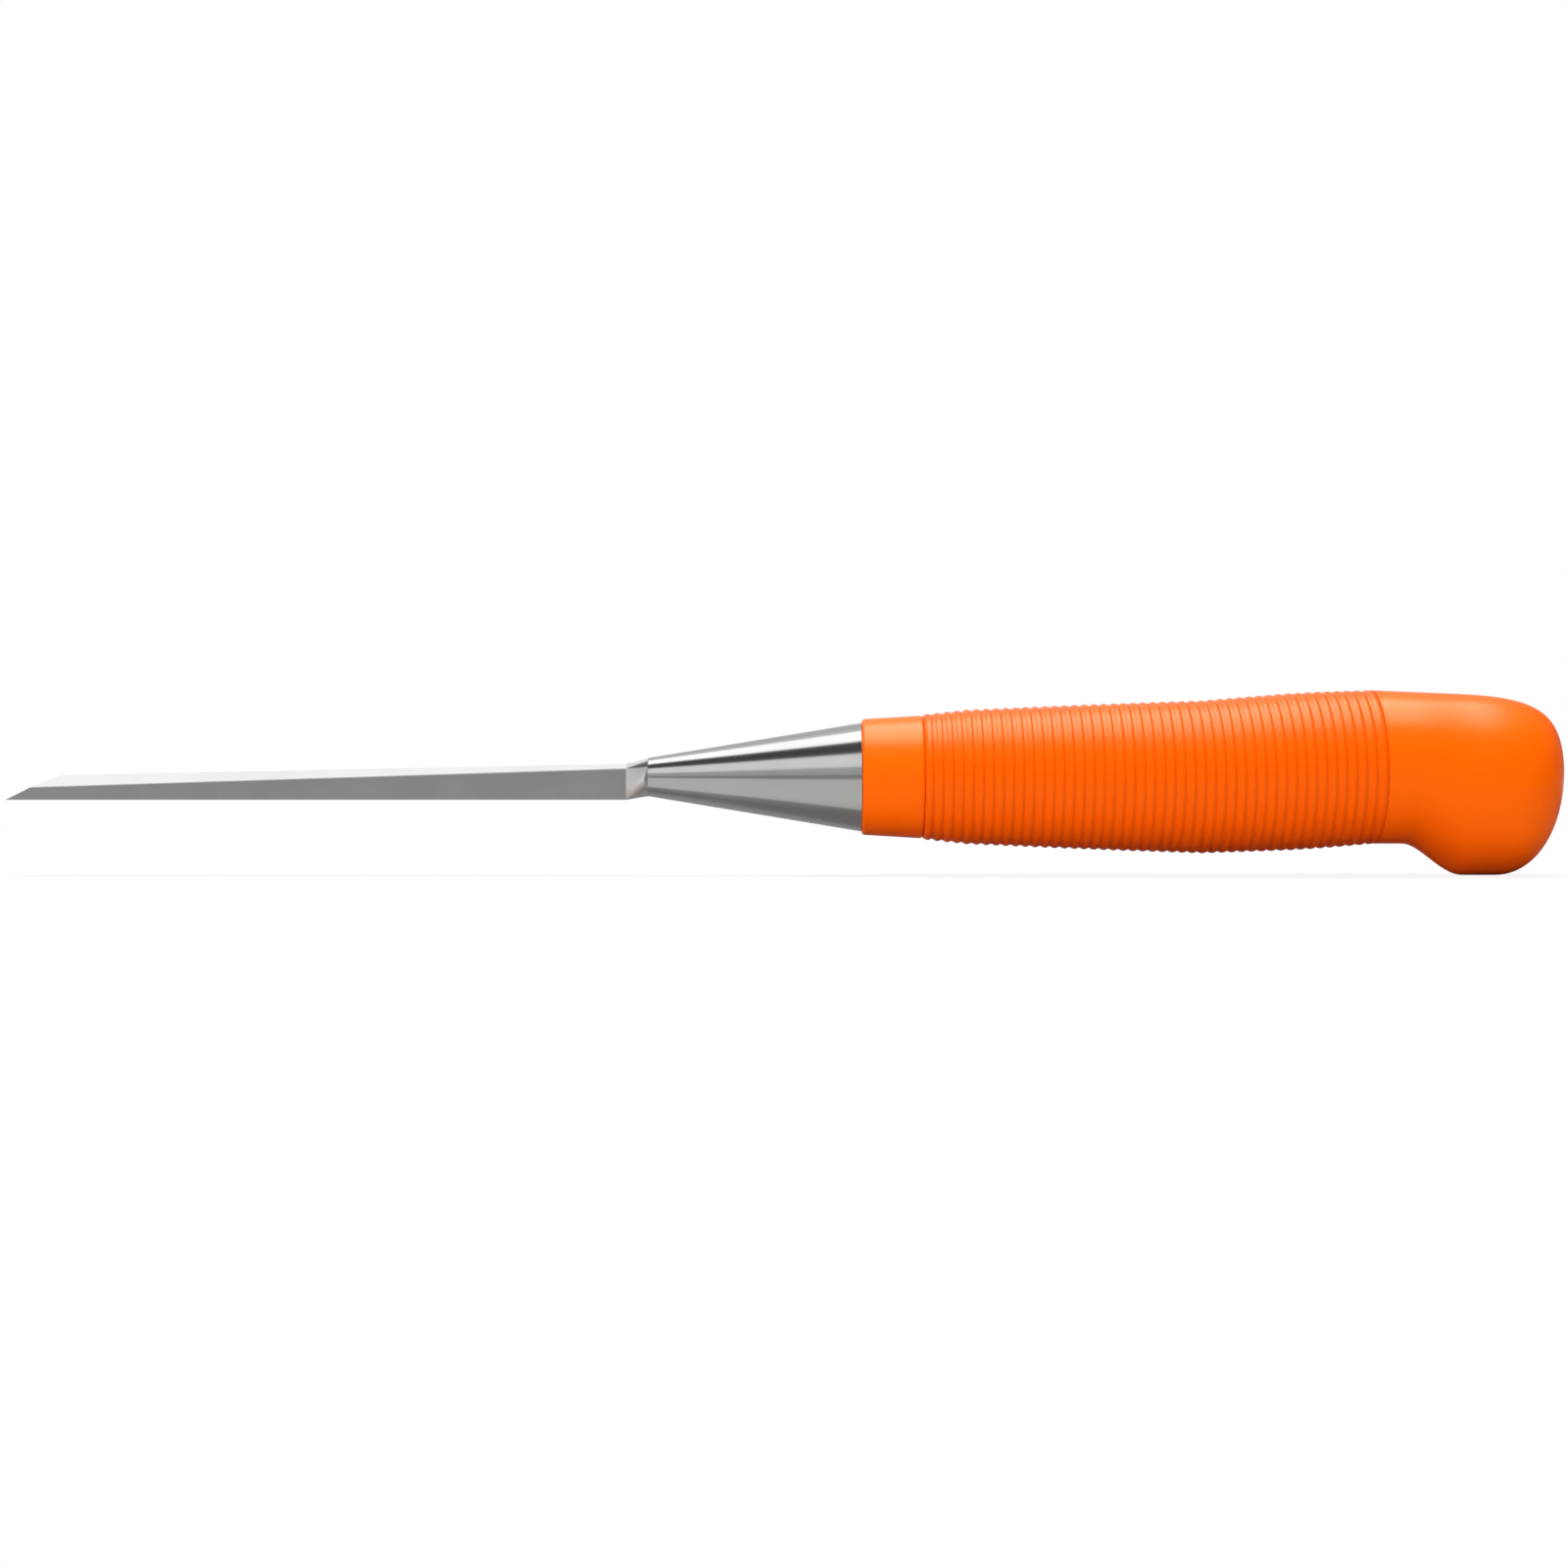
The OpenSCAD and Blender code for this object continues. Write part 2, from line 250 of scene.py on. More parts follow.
def new_object(name, bm):
    """Puts a bmesh into a new object of the scene."""
    mesh = bpy.data.meshes.new(name)
    bm.to_mesh(mesh)
    bm.free()
    piece = bpy.data.objects.new(name, mesh)
    bpy.context.scene.collection.objects.link(piece)
    return piece


def combine(piece, other, operation):
    """Cuts, joins or trims a piece with another object, which is then removed."""
    modifier = piece.modifiers.new(operation, "BOOLEAN")
    modifier.operation = operation
    modifier.solver = "EXACT"
    modifier.object = other
    depsgraph = bpy.context.evaluated_depsgraph_get()
    joined = bpy.data.meshes.new_from_object(piece.evaluated_get(depsgraph))
    piece.modifiers.clear()
    piece.data = joined
    bpy.data.objects.remove(other)


def finish_piece(piece, node, sharp_degrees):
    """Smooths a piece up to its sharp edges and puts it in the CAD node's place."""
    piece.data.shade_smooth()
    piece.data.set_sharp_from_angle(angle=math.radians(sharp_degrees))
    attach(piece, "root")
    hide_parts(node)


def add_node(tree, kind, inputs=None, **settings):
    """Adds a node, with its settings and with values or links for its inputs."""
    node = tree.nodes.new(kind)
    for name, value in settings.items():
        setattr(node, name, value)
    for name, value in (inputs or {}).items():
        if isinstance(value, bpy.types.NodeSocket):
            tree.links.new(value, node.inputs[name])
        else:
            node.inputs[name].default_value = value
    return node


def new_material(name):
    """An empty node material and its node tree."""
    material = bpy.data.materials.new(name)
    material.use_nodes = True
    material.node_tree.nodes.clear()
    return material, material.node_tree


def steel(name, tint, roughness, spread, line, run, depth):
    """Steel worked by an abrasive: fine parallel lines, closest along the shortest of the lengths
    in run, with a height of line, and a roughness and tone that vary a little between them."""
    material, tree = new_material(name)
    place = add_node(tree, "ShaderNodeTexCoord").outputs["Object"]
    cloud_size = 9 * MM
    per_metre = [1.0 / size for size in run]
    drawn = add_node(tree, "ShaderNodeMapping", {"Vector": place, "Scale": per_metre}).outputs[0]
    lines = add_node(
        tree, "ShaderNodeTexNoise",
        {"Vector": drawn, "Scale": 1.0, "Detail": 3.0, "Roughness": 0.6},
    ).outputs["Fac"]
    cloud = add_node(
        tree, "ShaderNodeTexNoise", {"Vector": place, "Scale": 1 / cloud_size, "Detail": 2.0}
    ).outputs["Fac"]
    rough = add_node(
        tree, "ShaderNodeMapRange",
        {"Value": lines, "From Min": 0.3, "From Max": 0.7,
         "To Min": roughness - spread, "To Max": roughness + spread},
    ).outputs["Result"]
    shade = add_node(
        tree, "ShaderNodeMapRange",
        {"Value": cloud, "From Min": 0.3, "From Max": 0.7, "To Min": 0.96, "To Max": 1.03},
    ).outputs["Result"]
    tinted = add_node(
        tree, "ShaderNodeVectorMath", {0: (*tint,), "Scale": shade}, operation="SCALE"
    ).outputs["Vector"]
    bump = add_node(
        tree, "ShaderNodeBump", {"Height": lines, "Strength": depth, "Distance": line}
    ).outputs["Normal"]
    shader = add_node(
        tree, "ShaderNodeBsdfPrincipled",
        {"Base Color": tinted, "Metallic": 1.0, "Roughness": rough, "Normal": bump},
    )
    add_node(tree, "ShaderNodeOutputMaterial", {"Surface": shader.outputs[0]})
    return material


def moulded_plastic(name, tint, roughness, grain, depth):
    """Coloured plastic from a steel mould: an even colour, a fine grain and a soft gloss."""
    material, tree = new_material(name)
    place = add_node(tree, "ShaderNodeTexCoord").outputs["Object"]
    flow_size, grain_height, spread = 14 * MM, 0.02 * MM, 0.03
    specks = add_node(
        tree, "ShaderNodeTexNoise", {"Vector": place, "Scale": 1 / grain, "Detail": 2.0}
    ).outputs["Fac"]
    flow = add_node(
        tree, "ShaderNodeTexNoise", {"Vector": place, "Scale": 1 / flow_size, "Detail": 1.0}
    ).outputs["Fac"]
    shade = add_node(
        tree, "ShaderNodeMapRange",
        {"Value": flow, "From Min": 0.3, "From Max": 0.7, "To Min": 0.97, "To Max": 1.0},
    ).outputs["Result"]
    tinted = add_node(
        tree, "ShaderNodeVectorMath", {0: (*tint,), "Scale": shade}, operation="SCALE"
    ).outputs["Vector"]
    rough = add_node(
        tree, "ShaderNodeMapRange",
        {"Value": specks, "From Min": 0.3, "From Max": 0.7,
         "To Min": roughness - spread, "To Max": roughness + spread},
    ).outputs["Result"]
    bump = add_node(
        tree, "ShaderNodeBump", {"Height": specks, "Strength": depth, "Distance": grain_height}
    ).outputs["Normal"]
    shader = add_node(
        tree, "ShaderNodeBsdfPrincipled",
        {"Base Color": tinted, "Roughness": rough, "IOR": 1.5, "Specular IOR Level": 0.3,
         "Normal": bump},
    )
    add_node(tree, "ShaderNodeOutputMaterial", {"Surface": shader.outputs[0]})
    return material


def ground_bar(bm, blade, end_x):
    """The bar of the blade with its ground faces: side bevels, taper and cutting bevel."""
    shoulder_x = FERRULE_LOW.x - blade.shoulder
    half = blade.width / 2
    top_rise = (blade.root_thickness - blade.tip_thickness) / shoulder_x
    land_rise = (blade.root_land - blade.tip_land) / shoulder_x
    bevel_x = blade.tip_thickness / (math.tan(blade.edge_bevel) - top_rise)
    outline = [
        (0.0, 0.0),
        (end_x, 0.0),
        (end_x, blade.tip_thickness + top_rise * end_x),
        (bevel_x, blade.tip_thickness + top_rise * bevel_x),
    ]
    side = bm.faces.new([bm.verts.new((x, -half, z)) for x, z in outline])
    drawn = bmesh.ops.extrude_face_region(bm, geom=[side])["geom"]
    bmesh.ops.translate(
        bm, vec=(0.0, blade.width, 0.0),
        verts=[part for part in drawn if isinstance(part, bmesh.types.BMVert)],
    )
    bmesh.ops.recalc_face_normals(bm, faces=bm.faces)
    for way in (-1, 1):
        cut = bmesh.ops.bisect_plane(
            bm, geom=bm.verts[:] + bm.edges[:] + bm.faces[:], clear_outer=True,
            plane_co=(0.0, way * half, blade.tip_land),
            plane_no=(-land_rise, way * math.tan(blade.side_bevel), 1.0),
        )["geom_cut"]
        rim = [part for part in cut if isinstance(part, bmesh.types.BMEdge)]
        bmesh.ops.holes_fill(bm, edges=rim)
    bmesh.ops.recalc_face_normals(bm, faces=bm.faces)
    kept_sharp = 0.5 * MM
    edges = [
        edge for edge in bm.edges
        if max(v.co.x + v.co.z for v in edge.verts) > kept_sharp
        and min(v.co.x for v in edge.verts) < end_x - kept_sharp
    ]
    bmesh.ops.bevel(
        bm, geom=edges, offset=blade.edge_break, offset_type="OFFSET", segments=2, profile=0.5,
        affect="EDGES", material=-1, clamp_overlap=True,
    )
    bmesh.ops.recalc_face_normals(bm, faces=bm.faces)


class CHISEL_OT_blade(bpy.types.Operator):
    """Grind the blade, forge its shoulder and draw its tang"""

    bl_idname = "chisel.blade"
    bl_label = "Blade"

    def execute(self, context):
        blade = context.scene.chisel_blade
        axis = blade.axis_height
        neck_r, tang_r = blade.neck / 2, blade.tang / 2
        neck_x = FERRULE_LOW.x
        shoulder_x = neck_x - blade.shoulder
        nose_x = neck_x + context.scene.chisel_ferrule.nose
        inset = blade.edge_break / 2

        bm = bmesh.new()
        ground_bar(bm, blade, shoulder_x)
        piece = new_object("chisel_blade", bm)

        bm = bmesh.new()
        half, root = blade.width / 2 - inset, blade.root_thickness - inset
        bevel_drop = root - blade.root_land
        for y, z in (
            (half, inset), (half, blade.root_land),
            (half - bevel_drop / math.tan(blade.side_bevel), root),
        ):
            for way in (-1, 1):
                bm.verts.new((shoulder_x - inset, way * y, z))
        end = bmesh.ops.create_circle(
            bm, segments=LATHE_STEPS, radius=1.0, matrix=ring(neck_x, axis, neck_r, neck_r)
        )["verts"]
        # The flats on the neck's sides reach further in under the tool's axis
        side_flat, under_flat = 0.88 * neck_r, 0.8 * neck_r
        cut_off = [
            vert for vert in end if abs(vert.co.y) > (side_flat if vert.co.z > axis else under_flat)
        ]
        bmesh.ops.delete(bm, geom=cut_off, context="VERTS")
        hull = bmesh.ops.convex_hull(bm, input=bm.verts)
        inner = [part for part in hull["geom_interior"] if part.is_valid]
        bmesh.ops.delete(bm, geom=inner, context="VERTS")
        bmesh.ops.recalc_face_normals(bm, faces=bm.faces)
        combine(piece, new_object("shoulder", bm), "UNION")

        bm = bmesh.new()
        turn(bm, [
            (shoulder_x, 0.0), (shoulder_x, tang_r), (nose_x, tang_r), (nose_x, 0.0),
        ], axis)
        combine(piece, new_object("neck", bm), "UNION")

        bm = bmesh.new()
        tang_x = BLADE_HIGH.x
        overlap = MM
        drawn = tang_x - nose_x + overlap
        middle = Matrix.Translation((tang_x - drawn / 2, 0.0, axis))
        along = Matrix.Rotation(math.radians(90), 4, "Y")
        squared = Matrix.Rotation(math.radians(45), 4, "Z")
        # Radii to the square's corners, which start just inside the round tang
        root_r, end_r = 0.97 * tang_r, blade.tang_end / math.sqrt(2)
        bmesh.ops.create_cone(
            bm, cap_ends=True, segments=4, radius1=root_r, radius2=end_r, depth=drawn,
            matrix=middle @ along @ squared,
        )
        combine(piece, new_object("tang", bm), "UNION")

        colours = context.scene.chisel_colours
        # Tool steel ground on a belt: satin grey, with fine lines across the blade
        piece.data.materials.clear()
        piece.data.materials.append(
            steel(
                "ground_tool_steel", colours.blade, roughness=0.3, spread=0.02, line=0.01 * MM,
                run=(0.2 * MM, 5 * MM, 5 * MM), depth=0.04,
            )
        )
        finish_piece(piece, "blade", sharp_degrees=6)
        # The ground faces stay flat, and the faces of the shoulder run into each other
        bm = bmesh.new()
        bm.from_mesh(piece.data)
        bmesh.ops.dissolve_degenerate(bm, dist=SPECK, edges=bm.edges)
        soft_angle = math.radians(35)
        for edge in bm.edges:
            behind = min(vert.co.x for vert in edge.verts) > shoulder_x - MM
            if behind and edge.calc_face_angle() < soft_angle:
                edge.smooth = True
        bm.to_mesh(piece.data)
        bm.free()
        return {"FINISHED"}


class CHISEL_OT_ferrule(bpy.types.Operator):
    """Turn the hollow conical ferrule"""

    bl_idname = "chisel.ferrule"
    bl_label = "Ferrule"

    def execute(self, context):
        blade, ferrule = context.scene.chisel_blade, context.scene.chisel_ferrule
        front, back = FERRULE_LOW.x, FERRULE_HIGH.x
        slip = 0.05 * MM
        bore_r = blade.tang / 2 + slip
        mouth_r = ferrule.mouth / 2
        rise = (mouth_r - blade.neck / 2) / (back - front)
        cavity_r = blade.neck / 2 + rise * ferrule.nose - ferrule.wall
        tilt = math.degrees(math.atan(rise))
        rim, nose_rim = ferrule.rim, ferrule.nose_rim
        # The middle of the nose's arc lies so deep that the arc runs into the cone
        arc_depth = 0.8 * nose_rim
        nose_edge = rounding(front + nose_rim, blade.neck / 2 - arc_depth, nose_rim, -90, -tilt)
        mouth_edge = rounding(back - rim, mouth_r - rim, rim, -tilt, 90)
        profile = [
            (front, bore_r),
            *nose_edge,
            *held(nose_edge[-1], mouth_edge[0]),
            *mouth_edge,
            (back, mouth_r - ferrule.wall),
            (front + ferrule.nose, cavity_r),
            (front + ferrule.nose, bore_r),
            (front, bore_r),
        ]
        bm = bmesh.new()
        turn(bm, profile, blade.axis_height)
        piece = new_object("chisel_ferrule", bm)
        # Bright steel polished on the lathe: a mirror with the faintest rings round the axis
        piece.data.materials.append(
            steel(
                "polished_steel", context.scene.chisel_colours.ferrule, roughness=0.15,
                spread=0.025, line=0.004 * MM, run=(0.1 * MM, 8 * MM, 8 * MM), depth=0.12,
            )
        )
        finish_piece(piece, "ferrule", sharp_degrees=30)
        return {"FINISHED"}


class GripCurve:
    """The grip's radius, line and lean along its length, and the pommel's outline behind it."""

    def __init__(self, handle, axis_height):
        self.handle, self.axis = handle, axis_height
        self.pitch = handle.grip / handle.ribs
        self.bend_at = (handle.bend_rib + 0.5) * self.pitch
        self.rise = (handle.grip - self.bend_at) * math.tan(handle.bend)
        self.pommel_x = SLEEVE_LOW.x + handle.grip
        self.pommel_length = CORE_HIGH.x - self.pommel_x

    def crest(self, u):
        """The radius over the ribs at a distance from the collar."""
        h = self.handle
        if u < h.swell_at:
            share = (u / h.swell_at + math.sin(math.pi / 2 * u / h.swell_at)) / 2
            drop = h.lead_drop * max(0.0, 1 - u / h.lead_in)
            return mix(h.grip_front, h.grip_swell, share) / 2 - drop
        return mix(h.grip_swell, h.grip_rear, ((u - h.swell_at) / (h.grip - h.swell_at)) ** 2) / 2

    def lean(self, u):
        """The lean of a rib."""
        run = self.handle.bend_ribs * self.pitch
        return self.handle.rib_lean * ease((u - self.bend_at) / run + 0.5)

    def line(self, u):
        """The height of the grip's middle line."""
        return self.axis + max(0.0, u - self.bend_at) * math.tan(self.handle.bend)

    def section(self, u, radius, along=0.0):
        """A round section of the grip, set off along its own leaning axis."""
        lean = self.lean(u)
        x = SLEEVE_LOW.x + u + along * math.cos(lean)
        return ring(x, self.line(u) + along * math.sin(lean), radius, radius, lean)

    def pommel(self, s):
        """The pommel's section at a distance behind the grip."""
        h = self.handle

        def butt(reach, fullness):
            return fall((s - self.pommel_length + reach) / reach, fullness)

        radius = h.grip_rear / 2
        drop = ease((s - h.throat_at) / (h.heel_at - h.throat_at))
        settled = ease(s / h.heel_at)
        top = (self.rise + radius - s * math.tan(h.top_fall)) * butt(h.top_round, h.top_full)
        low = mix(radius - self.rise, h.heel_depth, drop) * butt(h.heel_round, h.heel_full)
        half = mix(radius, h.pommel_width / 2, settled) * butt(h.side_round, h.side_full)
        lean = h.rib_lean * (1 - settled)
        return ring(self.pommel_x + s, self.axis + (top - low) / 2, half, (top + low) / 2, lean)


class CHISEL_OT_handle_core(bpy.types.Operator):
    """Mould the core: nose, collar, hidden stem and hooked pommel"""

    bl_idname = "chisel.handle_core"
    bl_label = "Handle core"

    def execute(self, context):
        scene = context.scene
        blade, ferrule, handle = scene.chisel_blade, scene.chisel_ferrule, scene.chisel_handle
        curve = GripCurve(handle, blade.axis_height)
        axis = blade.axis_height
        mouth, grip_x = FERRULE_HIGH.x, SLEEVE_LOW.x
        mouth_r = ferrule.mouth / 2 - ferrule.wall
        front_r, rear_r, edge = handle.collar_front / 2, handle.collar_rear / 2, handle.collar_round
        stem_depth = handle.rib_height + handle.sleeve_wall
        nose_x = FERRULE_LOW.x + ferrule.nose
        clear = 0.03 * MM
        front_edge = rounding(mouth + edge, front_r - edge, edge, -90, 0)
        rear_edge = rounding(grip_x - edge, rear_r - edge, edge, 0, 90)
        turned = [
            (nose_x + clear, blade.tang / 2),
            (mouth, mouth_r - clear),
            *front_edge,
            *held(front_edge[-1], rear_edge[0]),
            *rear_edge,
            (grip_x, curve.crest(0.0) - stem_depth),
        ]
        rings = [ring(x, axis, radius, radius) for x, radius in turned]
        stem_steps = 6
        for i in range(1, stem_steps + 1):
            u = handle.grip * i / stem_steps
            rings.append(curve.section(u, curve.crest(u) - stem_depth))
        pommel_rings = 64
        for j in range(pommel_rings):
            quarter = math.pi / 2 * j / pommel_rings
            rings.append(curve.pommel(curve.pommel_length * math.sin(quarter)))
        bm = bmesh.new()
        start, end = loft(bm, rings)
        bm.faces.new(start)
        bmesh.ops.pointmerge(bm, verts=end, merge_co=(CORE_HIGH.x, 0.0, axis))
        bmesh.ops.recalc_face_normals(bm, faces=bm.faces)
        piece = new_object("chisel_handle_core", bm)
        # Hard acetate plastic: bright, even orange with a soft gloss from a blasted mould
        piece.data.materials.append(
            moulded_plastic(
                "moulded_orange_acetate", scene.chisel_colours.core, roughness=0.3,
                grain=0.3 * MM, depth=0.1,
            )
        )
        finish_piece(piece, "handle_core", sharp_degrees=40)
        return {"FINISHED"}


class CHISEL_OT_grip_sleeve(bpy.types.Operator):
    """Mould the ribbed sleeve of the grip"""

    bl_idname = "chisel.grip_sleeve"
    bl_label = "Grip sleeve"

    def execute(self, context):
        scene = context.scene
        handle = scene.chisel_handle
        curve = GripCurve(handle, scene.chisel_blade.axis_height)
        half_rib = (curve.pitch - handle.groove) / 2
        round_h = handle.rib_height + handle.rib_root
        foot = math.acos(handle.rib_root / round_h)
        bore_gap = 0.02 * MM
        bore_depth = handle.rib_height + handle.sleeve_wall - bore_gap
        last_groove = handle.rib_height / 3
        rib_steps = 10
        rings = [curve.section(0.0, curve.crest(0.0) - handle.rib_height)]
        for i in range(handle.ribs):
            u = (i + 0.5) * curve.pitch
            rear_foot = foot if i + 1 < handle.ribs else foot / 2
            for j in range(rib_steps + 1):
                a = mix(-foot, rear_foot, j / rib_steps)
                radius = curve.crest(u) - round_h * (1 - math.cos(a))
                rings.append(curve.section(u, radius, half_rib * math.sin(a)))
        rings.append(curve.section(handle.grip, curve.crest(handle.grip) - last_groove))
        bore_steps = 6
        for i in range(bore_steps, -1, -1):
            u = handle.grip * i / bore_steps
            rings.append(curve.section(u, curve.crest(u) - bore_depth))
        rings.append(rings[0])
        bm = bmesh.new()
        loft(bm, rings)
        bmesh.ops.remove_doubles(bm, verts=bm.verts, dist=SEAM)
        bmesh.ops.recalc_face_normals(bm, faces=bm.faces)
        piece = new_object("chisel_grip_sleeve", bm)
        # Softer elastomer over the core: the same orange, a little deeper, with a duller skin
        piece.data.materials.append(
            moulded_plastic(
                "moulded_orange_elastomer", scene.chisel_colours.sleeve, roughness=0.34,
                grain=0.22 * MM, depth=0.12,
            )
        )
        finish_piece(piece, "grip_sleeve", sharp_degrees=180)
        return {"FINISHED"}


def studio_world(scene):
    """The room: white behind the tool, with the dark gaps between the lit panels in its gloss."""
    world = bpy.data.worlds.new("studio")
    world.use_nodes = True
    tree = world.node_tree
    tree.nodes.clear()
    scene.world = world
    way = add_node(tree, "ShaderNodeTexCoord").outputs["Generated"]
    parts = add_node(tree, "ShaderNodeSeparateXYZ", {"Vector": way}).outputs
    forward = add_node(
        tree, "ShaderNodeMath", {0: parts["Y"], 1: -1.0}, operation="MULTIPLY"
    ).outputs[0]
    angle = add_node(
        tree, "ShaderNodeMath", {0: parts["Z"], 1: forward}, operation="ARCTAN2"
    ).outputs[0]
    share = add_node(
        tree, "ShaderNodeMapRange", {"Value": angle, "From Min": -math.pi, "From Max": math.pi}
    ).outputs["Result"]
    ramp = add_node(tree, "ShaderNodeValToRGB", {"Fac": share})
    # Degrees round the tool from the camera's side over the top to the back, and the light there
    stops = [
        (-180, 1.0), (-150, 0.5), (-90, 0.2), (-12, 0.08), (55, 0.08), (60, 0.05), (80, 0.05),
        (86, 0.6), (115, 0.6), (135, 0.45), (155, 0.5), (168, 1.0), (180, 1.0),
    ]
    elements = ramp.color_ramp.elements
    for degrees, light in stops[1:-1]:
        elements.new(degrees / 360 + 0.5).color = (light, light, light, 1.0)
    elements[0].color = (stops[0][1],) * 3 + (1.0,)
    elements[len(elements) - 1].color = (stops[-1][1],) * 3 + (1.0,)
    # The two ends of the room are dimmer
    offset = add_node(tree, "ShaderNodeMath", {0: parts["X"], 1: 0.1}, operation="ADD").outputs[0]
    aside = add_node(tree, "ShaderNodeMath", {0: offset}, operation="ABSOLUTE").outputs[0]
    dim = add_node(
        tree, "ShaderNodeMapRange",
        {"Value": aside, "From Min": 0.25, "From Max": 0.6, "To Min": 1.0, "To Max": 0.2},
    ).outputs["Result"]
    room = add_node(
        tree, "ShaderNodeVectorMath", {0: ramp.outputs["Color"], "Scale": dim}, operation="SCALE"
    ).outputs["Vector"]
    path = add_node(tree, "ShaderNodeLightPath").outputs
    clear = add_node(
        tree, "ShaderNodeMath",
        {0: path["Is Camera Ray"], 1: path["Is Transmission Ray"]}, operation="MAXIMUM",
    ).outputs[0]
    seen = add_node(
        tree, "ShaderNodeMix", {"Factor": clear, "A": room, "B": (1.0, 1.0, 1.0, 1.0)},
        data_type="RGBA",
    ).outputs[2]
    back = add_node(tree, "ShaderNodeBackground", {"Color": seen, "Strength": 1.0})
    add_node(tree, "ShaderNodeOutputWorld", {"Surface": back.outputs[0]})


def pale_floor(tint, foot):
    """Matt floor paint: near white to the camera, with the tool's shadow round the foot point."""
    material, tree = new_material("pale_floor")
    place = add_node(tree, "ShaderNodeTexCoord").outputs["Object"]
    path = add_node(tree, "ShaderNodeLightPath").outputs
    clear = add_node(
        tree, "ShaderNodeMath",
        {0: path["Is Camera Ray"], 1: path["Is Transmission Ray"]}, operation="MAXIMUM",
    ).outputs[0]
    reach = add_node(
        tree, "ShaderNodeVectorMath", {0: place, 1: foot}, operation="DISTANCE"
    ).outputs["Value"]
    white = add_node(
        tree, "ShaderNodeMapRange",
        {"Value": reach, "From Min": 0.16, "From Max": 0.5, "To Min": 0.88, "To Max": 1.0},
        interpolation_type="SMOOTHSTEP",
    ).outputs["Result"]
    shown = add_node(
        tree, "ShaderNodeMath", {0: clear, 1: white}, operation="MULTIPLY"
    ).outputs[0]
    # The metal mirrors a white floor far behind the tool, and round it a floor painted dim grey,
    # which is painted shade in its reflections
    parts = add_node(tree, "ShaderNodeSeparateXYZ", {"Vector": place}).outputs
    behind = add_node(
        tree, "ShaderNodeMapRange", {"Value": parts["Y"], "From Min": 0.1, "From Max": 0.45},
        interpolation_type="SMOOTHSTEP",
    ).outputs["Result"]
    mirrored = add_node(
        tree, "ShaderNodeMath", {0: path["Is Glossy Ray"], 1: behind}, operation="MULTIPLY"
    ).outputs[0]
    factor = add_node(
        tree, "ShaderNodeMath", {0: shown, 1: mirrored}, operation="MAXIMUM"
    ).outputs[0]
    # The light that the floor throws back is warm, which keeps the orange plastic pure. In gloss
    # the floor round the tool is painted dim grey instead, a painted shade that the metal mirrors
    warm, dim = (0.6, 0.56, 0.12, 1.0), (0.1, 0.1, 0.1, 1.0)
    bounce_and_painted_shade = add_node(
        tree, "ShaderNodeMix", {"Factor": path["Is Glossy Ray"], "A": warm, "B": dim},
        data_type="RGBA",
    ).outputs[2]
    paint = add_node(
        tree, "ShaderNodeMix", {"Factor": clear, "A": bounce_and_painted_shade, "B": (*tint, 1.0)}, data_type="RGBA"
    ).outputs[2]
    matt = add_node(tree, "ShaderNodeBsdfDiffuse", {"Color": paint}).outputs[0]
    bright = add_node(tree, "ShaderNodeEmission", {"Strength": 1.0}).outputs[0]
    surface = add_node(tree, "ShaderNodeMixShader", {"Fac": factor, 1: matt, 2: bright})
    add_node(tree, "ShaderNodeOutputMaterial", {"Surface": surface.outputs[0]})
    return material


def lit_group(name, *pieces):
    """A collection of the pieces that a lamp lights."""
    group = bpy.data.collections.new(name)
    for piece in pieces:
        group.objects.link(bpy.data.objects[piece])
    return group


def panel_light(name, place, aim, size, watts):
    """A soft rectangular light that faces a point."""
    data = bpy.data.lights.new(name, "AREA")
    data.shape = "RECTANGLE"
    data.size, data.size_y = size
    data.energy = watts
    light = bpy.data.objects.new(name, data)
    light.location = place
    light.rotation_euler = (Vector(aim) - Vector(place)).to_track_quat("-Z", "Y").to_euler()
    light.visible_camera = False
    bpy.context.scene.collection.objects.link(light)
    return light


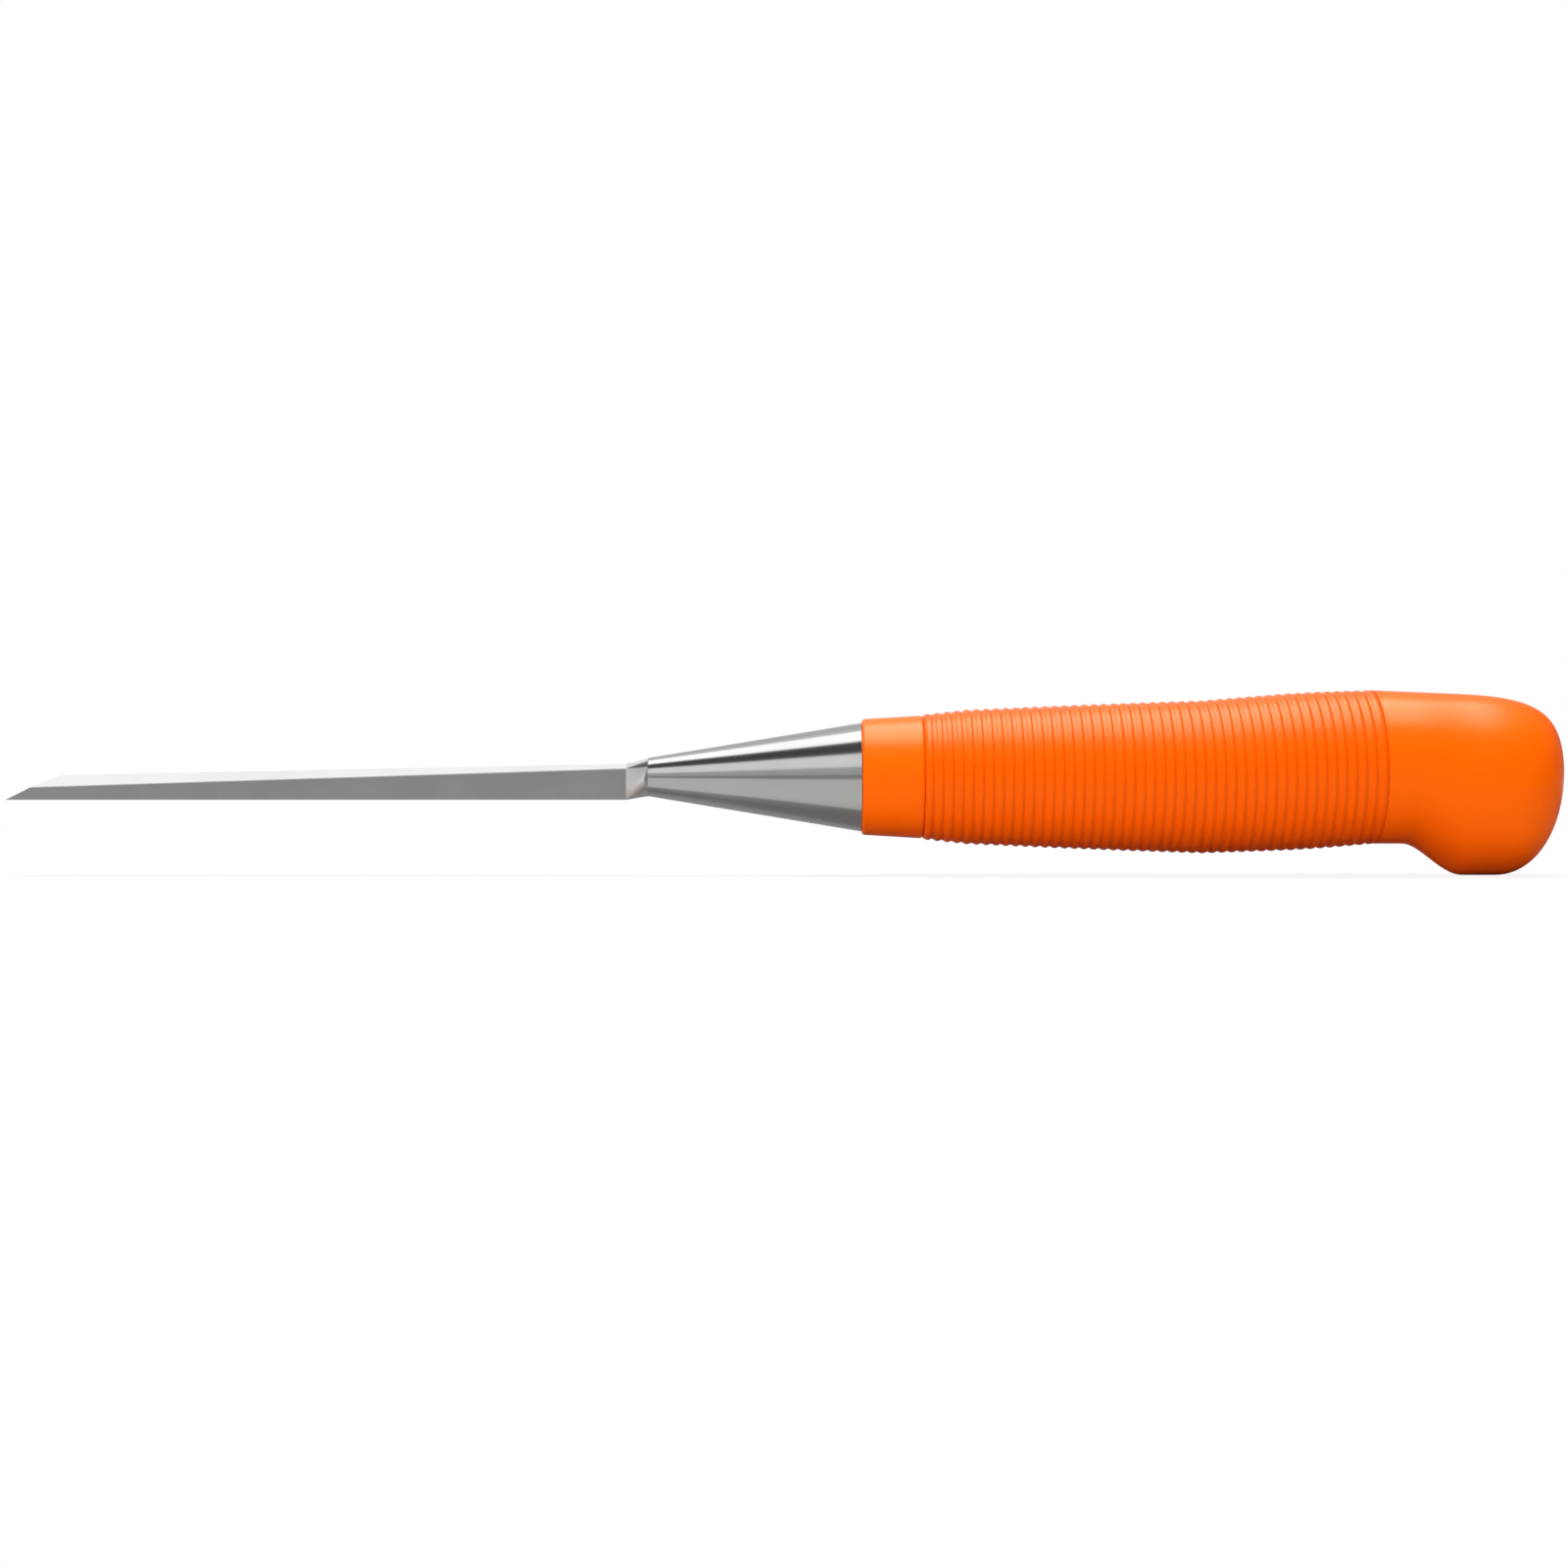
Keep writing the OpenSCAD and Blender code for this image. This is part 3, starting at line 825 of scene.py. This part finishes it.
class CHISEL_OT_stage(bpy.types.Operator):
    """Set up the floor, the lights and the camera"""

    bl_idname = "chisel.stage"
    bl_label = "Stage"

    def execute(self, context):
        scene = context.scene
        scene.view_settings.view_transform = "Standard"
        studio_world(scene)
        low, high = (Vector(corner) for corner in CAD_BOX)
        middle = (low.x + high.x) / 2

        bm = bmesh.new()
        bmesh.ops.create_circle(
            bm, cap_ends=True, segments=64, radius=FLOOR_RADIUS,
            matrix=Matrix.Translation((middle, 0.0, low.z - FLOOR_GAP)),
        )
        floor = new_object("floor", bm)
        floor.data.materials.append(pale_floor(scene.chisel_colours.floor, (middle, 0.0, low.z)))

        blade = lit_group("blade_alone", "chisel_blade")
        ferrule = lit_group("ferrule_alone", "chisel_ferrule")
        metal = lit_group("metal_pieces", "chisel_blade", "chisel_ferrule")
        handle = lit_group("handle_pieces", "chisel_handle_core", "chisel_grip_sleeve")
        ground = lit_group("floor_alone", "floor")
        target = (middle, 0.0, 0.0)
        card_z, up = low.z + MM, 1.0
        # Panels and reflector cards are set up for some pieces each, and hidden from the rest
        for name, group, place, aim, size, watts in (
            ("overhead_panel", ground, (0.09, 0.11, 0.7), (0.09, 0.11, 0.0), (0.86, 0.38), 7.6),
            ("ferrule_panel", ferrule, (0.09, 0.11, 0.7), (0.09, 0.11, 0.0), (0.86, 0.42), 0.7),
            ("handle_panel", handle, (0.09, 0.07, 0.7), (0.09, 0.07, 0.0), (0.86, 0.7), 10.2),
            ("left_fill", None, (middle - 0.6, -0.65, 0.22), target, (0.6, 0.5), 4.9),
            ("right_fill", None, (middle + 0.45, -0.7, 0.22), target, (0.6, 0.5), 1.9),
            ("back_card", blade, (-0.12, 0.45, 0.66), (-0.12, 0.0, 0.0), (0.7, 0.8), 1.05),
            ("high_card", metal, (middle, -0.64, 0.48), target, (1.5, 0.43), 1.26),
            ("low_card", metal, (middle, -0.8, 0.182), target, (1.5, 0.256), 0.33),
            ("side_card", metal, (middle + 0.75, -0.4, 0.2), target, (0.6, 0.5), 0.9),
            ("floor_card", metal, (middle, -0.085, card_z), (middle, -0.085, up), (1.5, 0.15),
             0.226),
            ("gap_card", ferrule, (middle, -0.165, 0.0), target, (1.5, 0.024), 0.0125),
            ("under_card", metal, (middle, 0.015, card_z), (middle, 0.015, up), (1.5, 0.05), 0.027),
        ):
            light = panel_light(name, place, aim, size, watts)
            light.light_linking.receiver_collection = group
            # The fills, which light every piece, leave no gloss
            light.visible_glossy = group is not None
            light.data.cycles.use_multiple_importance_sampling = group is not None
            if group is handle:
                light.data.color = HANDLE_LIGHT

        data = bpy.data.cameras.new("camera")
        data.lens, data.sensor_width = CAMERA_LENS, CAMERA_SENSOR
        data.clip_start, data.clip_end = 0.01, 50.0
        camera = bpy.data.objects.new("camera", data)
        camera.location = CAMERA_PLACE
        camera.rotation_euler = (math.radians(90), 0.0, 0.0)
        scene.collection.objects.link(camera)
        scene.camera = camera
        return {"FINISHED"}


class CHISEL_PT_panel(bpy.types.Panel):
    """The chisel's sizes, colours and pieces"""

    bl_idname = "CHISEL_PT_panel"
    bl_label = "Wood chisel"
    bl_space_type = "VIEW_3D"
    bl_region_type = "UI"
    bl_category = "Chisel"

    def draw(self, context):
        for group in GROUPS:
            box = self.layout.box()
            values = getattr(context.scene, group)
            box.label(text=values.bl_rna.description)
            for name in values.__annotations__:
                box.prop(values, name)
        for operator in OPERATORS:
            self.layout.operator(operator.bl_idname)


GROUPS = {
    "chisel_blade": ChiselBladeSizes,
    "chisel_ferrule": ChiselFerruleSizes,
    "chisel_handle": ChiselHandleSizes,
    "chisel_colours": ChiselColours,
}
OPERATORS = (
    CHISEL_OT_blade,
    CHISEL_OT_ferrule,
    CHISEL_OT_handle_core,
    CHISEL_OT_grip_sleeve,
    CHISEL_OT_stage,
)
CLASSES = (*GROUPS.values(), *OPERATORS, CHISEL_PT_panel)


def register():
    for cls in CLASSES:
        bpy.utils.register_class(cls)
    for name, group in GROUPS.items():
        setattr(bpy.types.Scene, name, PointerProperty(type=group))


def unregister():
    for name in GROUPS:
        delattr(bpy.types.Scene, name)
    for cls in reversed(CLASSES):
        bpy.utils.unregister_class(cls)


def main():
    register()
    bpy.ops.chisel.blade()
    bpy.ops.chisel.ferrule()
    bpy.ops.chisel.handle_core()
    bpy.ops.chisel.grip_sleeve()
    bpy.ops.chisel.stage()


if __name__ == "__main__":
    main()
